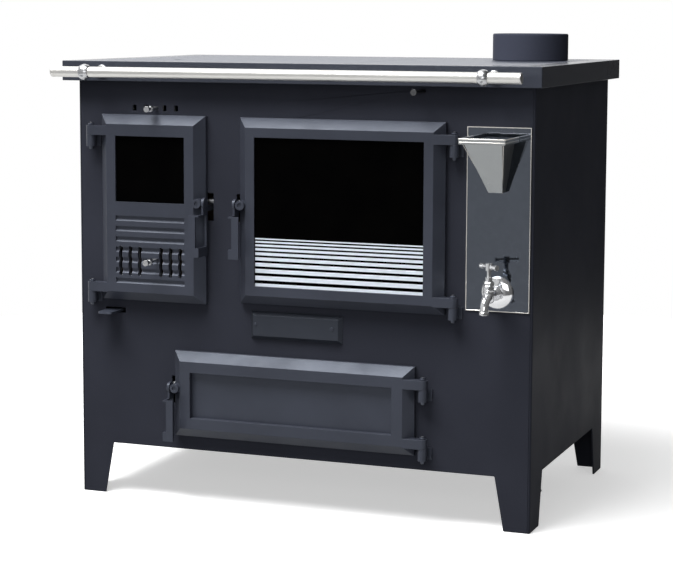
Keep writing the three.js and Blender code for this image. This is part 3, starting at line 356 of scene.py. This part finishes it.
BEVEL_WIDTHS = {
    "casing_paint": 0.0012,
    "door_cast": 0.0012,
    "hob_iron": 0.0008,
    "firebrick": 0.003,
    "zinc": 0.0003,
    "black_sheet": 0.0004,
    "stainless": 0.0003,
    "chrome": 0.0006,
    "polished_plate": 0.0004,
    "dark_glass": 0.0004,
}
OWN_MATERIALS = {
    "towel_rail": RAIL_STEEL,
    "funnel": FUNNEL_STEEL,
    "cooktop_frame": HOB_FRAME,
    "flue_collar": FLUE_PAINT,
    "cleanout_cover": COVER_CAST,
    "damper": DARK_STEEL,
    **{name: PIN_PAINT_LIGHTENED for name in NODES if name.startswith("pin_")},
}
LATCH_BEVEL = 0.0018
WELD_REACH = 0.00001
FLAT_NODES = (  # sheets and plates that are shaded flat
    "front_panel",
    "left_panel",
    "right_panel",
    "back_panel",
    "cooktop_frame",
    "water_plate",
    "hob_plate_middle",
)
SMOOTH_ANGLE = math.radians(32)


def finish_nodes():
    """Gives each CAD node its material, soft edges, and flat or smooth shading."""
    slots = {p["node"]: p["material_slot"] for p in frame["record"]["subparts"]}
    for name, node in NODES.items():
        slot = slots[name]
        node.data.materials.clear()
        node.data.materials.append(OWN_MATERIALS.get(name, MATERIALS[slot]))
        if "custom_normal" in node.data.attributes:
            node.data.attributes.remove(node.data.attributes["custom_normal"])
        flat = name in FLAT_NODES
        if flat:
            node.data.shade_flat()
        else:
            node.data.shade_smooth()
        weld = node.modifiers.new("weld", "WELD")
        weld.merge_threshold = WELD_REACH
        bevel = node.modifiers.new("soft_edges", "BEVEL")
        bevel.width = LATCH_BEVEL if name.startswith("latch_") else BEVEL_WIDTHS[slot]
        bevel.segments = 2
        bevel.limit_method = "ANGLE"
        bevel.angle_limit = SMOOTH_ANGLE
        bevel.use_clamp_overlap = True
        bevel.miter_outer = "MITER_ARC"
        if not flat:
            even = node.modifiers.new("even_light", "WEIGHTED_NORMAL")
            even.weight = 100
            even.keep_sharp = True


# ---------------------------------------------------------------- new pieces


def new_piece(name, mesh, material, body):
    """A piece of the scene's own, which rides on a body."""
    piece = bpy.data.objects.new(name, mesh)
    bpy.context.scene.collection.objects.link(piece)
    mesh.materials.append(material)
    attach(piece, body)
    return piece


ON_AXIS = 1e-7  # a radius below this is a point on the axis


def turned_mesh(name, profile, base, axis, segments=32):
    """A turned solid: profile points are (radius, height) from a base point along an axis."""
    mesh = bpy.data.meshes.new(name)
    bm = bmesh.new()
    turn = Vector((0, 0, 1)).rotation_difference(Vector(axis)).to_matrix()
    rings = []
    for radius, height in profile:
        if radius < ON_AXIS:
            rings.append([bm.verts.new(Vector(base) + turn @ Vector((0, 0, height)))])
            continue
        ring = []
        for i in range(segments):
            a = 2 * math.pi * i / segments
            point = Vector((radius * math.cos(a), radius * math.sin(a), height))
            ring.append(bm.verts.new(Vector(base) + turn @ point))
        rings.append(ring)
    for low, high in zip(rings, rings[1:]):
        count = max(len(low), len(high))
        for i in range(count):
            j = (i + 1) % count
            corners = [low[i % len(low)], low[j % len(low)]]
            corners += [high[j % len(high)], high[i % len(high)]]
            unique = list(dict.fromkeys(corners))
            if len(unique) > 2:
                bm.faces.new(unique)
    return rounded(bm, mesh)


def rounded(bm, mesh):
    """The finished mesh, smooth over its rounds and crisp at its corners."""
    bmesh.ops.recalc_face_normals(bm, faces=bm.faces)
    for face in bm.faces:
        face.smooth = True
    bm.to_mesh(mesh)
    bm.free()
    mesh.set_sharp_from_angle(angle=SMOOTH_ANGLE)
    return mesh


def tube_mesh(name, points, radii, segments=20):
    """A tube through points, with one radius at each, closed at both ends."""
    bm = bmesh.new()
    points = [Vector(point) for point in points]
    side = (points[1] - points[0]).orthogonal()
    rings = []
    for i, (point, radius) in enumerate(zip(points, radii)):
        ahead = (points[min(i + 1, len(points) - 1)] - points[max(i - 1, 0)]).normalized()
        side = (side - ahead * side.dot(ahead)).normalized()
        up = ahead.cross(side)
        ring = []
        for k in range(segments):
            a = 2 * math.pi * k / segments
            ring.append(bm.verts.new(point + radius * (math.cos(a) * side + math.sin(a) * up)))
        rings.append(ring)
    for low, high in zip(rings, rings[1:]):
        for k in range(segments):
            j = (k + 1) % segments
            bm.faces.new([low[k], low[j], high[j], high[k]])
    bm.faces.new(rings[0])
    bm.faces.new(rings[-1])
    return rounded(bm, bpy.data.meshes.new(name))


def border_mesh(name, x, z, front, width, proud):
    """A thin raised border inside a rectangle that faces the front."""
    bm = bmesh.new()
    slope = min(proud, width / 4)
    steps = ((0, 0), (0, proud - slope), (slope, proud), (width - slope, proud), (width, 0))
    rings = []
    for inset, height in steps:
        y = front - height
        corners = ((x[0] + inset, z[0] + inset), (x[1] - inset, z[0] + inset))
        corners += ((x[1] - inset, z[1] - inset), (x[0] + inset, z[1] - inset))
        rings.append([bm.verts.new((cx, y, cz)) for cx, cz in corners])
    for low, high in zip(rings, rings[1:] + rings[:1]):
        for k in range(4):
            j = (k + 1) % 4
            bm.faces.new([low[k], low[j], high[j], high[k]])
    return rounded(bm, bpy.data.meshes.new(name))


def box_mesh(name, low, high, bevel):
    """A box with rounded edges."""
    mesh = bpy.data.meshes.new(name)
    bm = bmesh.new()
    bmesh.ops.create_cube(bm, size=1)
    size = Vector(high) - Vector(low)
    middle = (Vector(high) + Vector(low)) / 2
    for vert in bm.verts:
        vert.co = Vector(c * s for c, s in zip(vert.co, size)) + middle
    edges = bm.edges[:]
    bmesh.ops.bevel(bm, geom=edges, offset=bevel, segments=3, affect="EDGES", profile=0.5)
    bm.to_mesh(mesh)
    bm.free()
    return mesh


STRIPES = 10
FIRST_STRIPE = 0.09  # above the glass opening's lower edge, in metres
STRIPE_THICKNESS = (0.0025, 0.009)
STRIPE_PROUD = 0.0002
STRIPE_OFF_GLASS = 0.00002
STRIPE_ROUND = 0.00006
STRIPE_INSET = 0.0006
STRIPE_GAP = 0.003
STRIPE_GAP_GROWTH = 0.00005  # times the square of the stripe's number
GLASS_LAP = 0.007


def oven_stripes():
    """Printed bars across the lower part of the oven glass, thicker and wider apart downwards."""
    low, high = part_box("oven_glass")
    x0 = low.x + GLASS_LAP + STRIPE_INSET
    x1 = high.x - GLASS_LAP - STRIPE_INSET
    front = low.y
    z = low.z + GLASS_LAP + FIRST_STRIPE
    thin, thick = STRIPE_THICKNESS
    for i in range(STRIPES):
        t = thin + (thick - thin) * i / (STRIPES - 1)
        mesh = box_mesh(
            f"stripe_{i}",
            (x0, front - STRIPE_PROUD, z - t / 2),
            (x1, front - STRIPE_OFF_GLASS, z + t / 2),
            STRIPE_ROUND,
        )
        new_piece(f"glass_stripe_{i}", mesh, STRIPE_INK, "oven_door")
        gap = STRIPE_GAP + STRIPE_GAP_GROWTH * i * i
        following = thin + (thick - thin) * (i + 1) / (STRIPES - 1)
        z -= (t + following) / 2 + gap


DOME_STEPS = 5
DOME_EDGE = 0.35  # share of a domed head's height that its straight edge takes


def domed_head(name, base, axis, radius, height, slot):
    """The domed head of a screw or pin on the stove."""
    profile = [(0, 0), (radius, 0), (radius, height * DOME_EDGE)]
    for i in range(1, DOME_STEPS + 1):
        a = math.pi / 2 * i / DOME_STEPS
        rise = DOME_EDGE + (1 - DOME_EDGE) * math.sin(a)
        profile.append((radius * math.cos(a), height * rise))
    mesh = turned_mesh(name, profile, base, axis, 24)
    return new_piece(name, mesh, MATERIALS[slot], "stove")


COVER_SCREW = (0.0035, 0.0018)  # radius, height
COVER_SCREW_UP = 0.0285  # from the cover's lower edge
COVER_SCREW_LEFT = 0.0112  # from its left edge
COVER_SCREW_RIGHT = 0.0192  # from its right edge


def cover_screws():
    low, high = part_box("cleanout_cover")
    z = low.z + COVER_SCREW_UP
    for side, x in (("left", low.x + COVER_SCREW_LEFT), ("right", high.x - COVER_SCREW_RIGHT)):
        domed_head(f"cover_screw_{side}", (x, low.y, z), (0, -1, 0), *COVER_SCREW, "door_cast")


SET_SCREW = (0.0026, 0.0014)  # radius, height
SET_SCREW_IN = 0.0020  # from the front of the rail's ball
SET_SCREW_DOWN = 0.0062  # from the rail's axis
SET_SCREW_AXIS = (0, -0.91, -0.41)


def rail_set_screws():
    rail_low, rail_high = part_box("towel_rail")
    z = (rail_low.z + rail_high.z) / 2 - SET_SCREW_DOWN
    for side in ("left", "right"):
        low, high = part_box(f"rail_bracket_{side}")
        base = ((low.x + high.x) / 2, low.y + SET_SCREW_IN, z)
        domed_head(f"rail_set_screw_{side}", base, SET_SCREW_AXIS, *SET_SCREW, "zinc")


PIN_HEAD = (0.0032, 0.0016)  # radius, height
PIN_HEAD_SUNK = 0.001  # into the pin


def pin_heads():
    """The rounded ends of the hinge pins, in bare zinc, whose lightness is partly a painted
    highlight.
    """
    for name in NODES:
        if not name.startswith("pin_"):
            continue
        low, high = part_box(name)
        middle = (low + high) / 2
        base = (middle.x, middle.y, high.z - PIN_HEAD_SUNK)
        domed_head(name.replace("pin_", "pin_head_"), base, (0, 0, 1), *PIN_HEAD, "zinc")


LEG_STUDS = ((0.087, "upper"), (0.059, "lower"))  # height above the floor, name
STUD_RADIUS = 0.003
STUD_LENGTH = 0.0245
STUD_EDGE = (0.0008, 0.001)  # of its end: inwards and along
STUD_REACH = 0.0055  # behind the leg
LEG_DEPTH = 0.091  # of a front leg's side, at the studs
SHEET = 0.003


def leg_studs():
    """Studs welded inside the front legs' sides, whose ends stand out behind them."""
    for side, sign in (("left", -1), ("right", 1)):
        low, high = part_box(f"{side}_panel")
        outer = high.x if sign > 0 else low.x
        x = outer - sign * (SHEET + STUD_RADIUS)
        start = low.y + LEG_DEPTH + STUD_REACH - STUD_LENGTH
        profile = [
            (0, 0),
            (STUD_RADIUS, 0),
            (STUD_RADIUS, STUD_LENGTH - STUD_EDGE[1]),
            (STUD_RADIUS - STUD_EDGE[0], STUD_LENGTH),
            (0, STUD_LENGTH),
        ]
        for z, level in LEG_STUDS:
            mesh = turned_mesh("stud", profile, (x, start, z), (0, 1, 0))
            new_piece(f"leg_stud_{side}_{level}", mesh, MATERIALS["zinc"], "stove")


BORDER_WIDTH = 0.0016
BORDER_PROUD = 0.0004


def plate_border():
    low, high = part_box("water_plate")
    x, z = (low.x, high.x), (low.z, high.z)
    mesh = border_mesh("border", x, z, low.y, BORDER_WIDTH, BORDER_PROUD)
    # the border's near-white steel is a painted highlight round the plate's edges
    new_piece("water_plate_border", mesh, EDGE_HIGHLIGHT_STEEL, "stove")


FUNNEL_STEP = 0.005  # from its rim in to its sloping sides
FUNNEL_FOOT = 0.013  # half the width of its foot
FUNNEL_FOOT_FRONT = -0.2565
TAP_X = 0.3913  # the tap's upright axis, as in the CAD
HEMS = (("top", 0.0006, 0.0012), ("bottom", 0.0064, 0.0008))  # name, depth, radius
HEM_INSET = 0.0004
HEM_TURN = 0.0012  # of its corners
HEM_CUT = HEM_TURN * 0.3
HEM_END = 0.002  # before the plate
SEAM_RADIUS = 0.0006
SEAM_TOP = 0.0072  # below the rim
SEAM_BEND = 0.006  # above the foot
SEAM_END = 0.0004


def funnel_edges():
    """A rolled hem round the funnel's rim and the folded seams down its front corners, whose
    near-white steel is a painted highlight along these edges.
    """
    low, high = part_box("funnel")
    x0, x1, front = low.x + HEM_INSET, high.x - HEM_INSET, low.y + HEM_INSET
    for name, depth, radius in HEMS:
        z = high.z - depth
        path = [
            (x0, high.y - HEM_END, z),
            (x0, front + HEM_TURN, z),
            (x0 + HEM_CUT, front + HEM_CUT, z),
            (x0 + HEM_TURN, front, z),
            (x1 - HEM_TURN, front, z),
            (x1 - HEM_CUT, front + HEM_CUT, z),
            (x1, front + HEM_TURN, z),
            (x1, high.y - HEM_END, z),
        ]
        mesh = tube_mesh("hem", path, [radius] * len(path), 12)
        new_piece(f"funnel_hem_{name}", mesh, EDGE_HIGHLIGHT_STEEL, "stove")
    for name, top_x, bottom_x in (
        ("left", low.x + FUNNEL_STEP, TAP_X - FUNNEL_FOOT),
        ("right", high.x - FUNNEL_STEP, TAP_X + FUNNEL_FOOT),
    ):
        path = [
            (top_x, low.y + FUNNEL_STEP, high.z - SEAM_TOP),
            (bottom_x, FUNNEL_FOOT_FRONT, low.z + SEAM_BEND),
            (bottom_x, FUNNEL_FOOT_FRONT, low.z + SEAM_END),
        ]
        mesh = tube_mesh("seam", path, [SEAM_RADIUS] * len(path), 10)
        new_piece(f"funnel_seam_{name}", mesh, EDGE_HIGHLIGHT_STEEL, "stove")


TAP_Y = -0.2905
TAP_Z = 0.4415
TAP_BELOW = 0.012
TAP_ABOVE = 0.0195
TAP_NUT_HEIGHT = 0.007
TAP_TAIL_END = -0.2205
SPOUT_Y = -0.3185
SPOUT_END = 0.412
SPOUT_LOW = 0.001  # from TAP_Z down to the start of the spout's path
SPOUT_LAP = 0.004  # from SPOUT_END up to its end
SPOUT_STEPS = 20
SPOUT_RADIUS = 0.0088
SPOUT_TAPER = 0.0014


def millimetres(profile):
    """A profile given in millimetres, in metres."""
    return [(radius * MM, height * MM) for radius, height in profile]


def tap_details():
    """The tap's body with its rings, nut and swept spout, in place of the plain CAD body."""
    chrome = MATERIALS["chrome"]
    barrel = [
        (0, 0), (4.5, 0.2), (7.6, 1.4), (9.3, 3.6), (9.7, 6), (9.7, 21), (10.6, 21.8), (11, 23),
        (10.6, 24.2), (9.4, 25), (9.4, 28.6), (10.2, 29.4), (10.2, 31), (9.4, 31.6), (0, 31.6),
    ]
    foot = (TAP_X, TAP_Y, TAP_Z - TAP_BELOW)
    mesh = turned_mesh("tap_barrel", millimetres(barrel), foot, (0, 0, 1), 48)
    body = new_piece("tap_barrel", mesh, chrome, "stove")
    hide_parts("tap_body")
    nut = [(0, 0), (9.2, 0), (9.8, 0.8), (9.8, 6.2), (9.2, 7), (0, 7)]
    gland = [(0, 0), (7.4, 0), (7.4, 2), (6.2, 3), (6.2, 6), (7, 6.8), (7, 8), (6, 8.8), (0, 8.8)]
    tail = [
        (0, 0), (8.6, 0), (8.6, 24), (9.4, 25), (12.4, 25), (13, 26), (13, 31), (12.4, 32),
        (9.8, 32), (8.8, 34), (8.6, 70), (0, 70),
    ]
    outlet = [
        (0, 3), (5.6, 3), (5.8, 0.4), (6.2, 0), (8.2, 0), (8.9, 0.8), (8.9, 5.4), (8.1, 6.4),
        (0, 6.4),
    ]
    top = TAP_Z + TAP_ABOVE
    for name, profile, base, axis, segments in (
        ("tap_nut", nut, (TAP_X, TAP_Y, top), (0, 0, 1), 6),
        ("tap_gland", gland, (TAP_X, TAP_Y, top + TAP_NUT_HEIGHT), (0, 0, 1), 40),
        ("tap_tail", tail, (TAP_X, TAP_TAIL_END, TAP_Z), (0, -1, 0), 48),
        ("tap_outlet", outlet, (TAP_X, SPOUT_Y, SPOUT_END), (0, 0, 1), 40),
    ):
        mesh = turned_mesh(name, millimetres(profile), base, axis, segments)
        new_piece(name, mesh, chrome, "stove")
    start = Vector((TAP_X, TAP_Y, TAP_Z - SPOUT_LOW))
    bend = Vector((TAP_X, SPOUT_Y, TAP_Z - SPOUT_LOW))
    end = Vector((TAP_X, SPOUT_Y, SPOUT_END + SPOUT_LAP))
    path = []
    radii = []
    for i in range(SPOUT_STEPS + 1):
        t = i / SPOUT_STEPS
        path.append((1 - t) ** 2 * start + 2 * t * (1 - t) * bend + t**2 * end)
        radii.append(SPOUT_RADIUS - SPOUT_TAPER * t)
    new_piece("tap_spout", tube_mesh("tap_spout", path, radii, 32), chrome, "stove")


# ---------------------------------------------------------------- studio


class RayNodes(Nodes):
    """Nodes that tell the camera's rays from reflections and light."""

    def __init__(self, owner):
        super().__init__(owner)
        self.rays = self.node("ShaderNodeLightPath")

    def ranged(self, source, start, end, low, high, curve="LINEAR"):
        made = self.node("ShaderNodeMapRange", interpolation_type=curve)
        for name, value in zip(
            ("Value", "From Min", "From Max", "To Min", "To Max"),
            (source, start, end, low, high),
        ):
            self.fed(made.inputs[name], value)
        return made.outputs["Result"]

    def either(self, factor, when_zero, when_one):
        made = self.node("ShaderNodeMix", data_type="FLOAT")
        self.fed(made.inputs[0], factor)
        self.fed(made.inputs[2], when_zero)
        self.fed(made.inputs[3], when_one)
        return made.outputs[0]

    def reflected(self):
        """One for rays that metal and glass send out."""
        return self.maths(
            "MAXIMUM",
            self.rays.outputs["Is Glossy Ray"],
            self.rays.outputs["Is Transmission Ray"],
        )


AMBIENT = 0.16
GLOSSY_FRONT = 0.5
GLOSSY_BACK = 1.0
GLOSSY_RIGHT = 0.06  # times the others
TURN_TO_BACK = (-0.25, 0.25)  # of a direction's Y, from front to back
TURN_TO_RIGHT = (-0.2, 0.12)  # of its X, from left to right


def studio_world():
    """White to the camera. Reflections see it white behind to the left, darker elsewhere."""
    world = bpy.data.worlds.new("studio")
    bpy.context.scene.world = world
    t = RayNodes(world)
    split = t.node("ShaderNodeSeparateXYZ")
    t.fed(split.inputs[0], t.node("ShaderNodeTexCoord").outputs["Generated"])
    depth = t.ranged(split.outputs["Y"], *TURN_TO_BACK, GLOSSY_FRONT, GLOSSY_BACK)
    side = t.ranged(split.outputs["X"], *TURN_TO_RIGHT, 1.0, GLOSSY_RIGHT)
    room = t.maths("MULTIPLY", depth, side)
    lit = t.either(t.reflected(), AMBIENT, room)
    strength = t.either(t.rays.outputs["Is Camera Ray"], lit, 1.0)
    background = t.existing("Background")
    background.inputs["Color"].default_value = (1, 1, 1, 1)
    t.fed(background.inputs["Strength"], strength)


# name, place, target, width, height, watts
LAMPS = (
    ("overhead", (-0.7, -1.2, 3.0), (0, -0.1, 0.5), 2.2, 1.4, 150),
    ("front", (0.9, -4.2, 1.3), (0, 0, 0.45), 2.4, 1.6, 28),
    ("behind", (-1.2, 3.2, 2.4), (0, 0, 0.6), 2.8, 1.4, 16),
)


def lamps():
    """Area lamps, each turned to its target."""
    for name, at, towards, width, height, power in LAMPS:
        data = bpy.data.lights.new(name, "AREA")
        data.shape = "RECTANGLE"
        data.size = width
        data.size_y = height
        data.energy = power
        lamp = bpy.data.objects.new(name, data)
        lamp.location = at
        direction = Vector(towards) - Vector(at)
        lamp.rotation_euler = direction.to_track_quat("-Z", "Y").to_euler()
        bpy.context.scene.collection.objects.link(lamp)


FLOOR_RADIUS = 2.4
FLOOR_SIDES = 96
FLOOR_ROUGHNESS = 0.9
FLOOR_DROP = 0.0005
FLOOR_SEEN = 0.9  # colour of the floor to the camera
FLOOR_MIRRORED = 0.42  # share of it that shows in reflections
FLOOR_BOUNCE = 0.2  # and to the light that it sends back
GLOW_NEAR = 0.5
GLOW_FAR = 1.0
GLOW_START = 0.55  # metres from the stove's middle
GLOW_END = 1.6


def floor():
    """A white floor that keeps the stove's shadow near it and runs out to plain white."""
    mesh = bpy.data.meshes.new("floor")
    bm = bmesh.new()
    bmesh.ops.create_circle(bm, cap_ends=True, segments=FLOOR_SIDES, radius=FLOOR_RADIUS)
    bm.to_mesh(mesh)
    bm.free()
    plane = bpy.data.objects.new("floor", mesh)
    plane.location.z = -FLOOR_DROP
    bpy.context.scene.collection.objects.link(plane)
    material = bpy.data.materials.new("floor")
    t = RayNodes(material)
    shader = t.existing("Principled BSDF")
    mirrored = t.maths("MULTIPLY", t.reflected(), FLOOR_MIRRORED)
    seen = t.maths("MAXIMUM", t.rays.outputs["Is Camera Ray"], mirrored)
    tone = t.either(seen, FLOOR_BOUNCE, FLOOR_SEEN)
    colour = t.node("ShaderNodeCombineColor")
    for channel in colour.inputs:
        t.fed(channel, tone)
    t.fed(shader.inputs["Base Color"], colour.outputs[0])
    shader.inputs["Roughness"].default_value = FLOOR_ROUGHNESS
    shader.inputs["Specular IOR Level"].default_value = 0.0
    reach = t.node("ShaderNodeVectorMath", operation="LENGTH")
    t.fed(reach.inputs[0], t.node("ShaderNodeTexCoord").outputs["Object"])
    glow = t.ranged(
        reach.outputs["Value"], GLOW_START, GLOW_END, GLOW_NEAR, GLOW_FAR, "SMOOTHSTEP"
    )
    shader.inputs["Emission Color"].default_value = (1, 1, 1, 1)
    t.fed(shader.inputs["Emission Strength"], t.maths("MULTIPLY", seen, glow))
    mesh.materials.append(material)


add_camera()
finish_nodes()
oven_stripes()
cover_screws()
rail_set_screws()
pin_heads()
leg_studs()
plate_border()
funnel_edges()
tap_details()
studio_world()
lamps()
floor()
bpy.context.scene.view_settings.view_transform = "Standard"
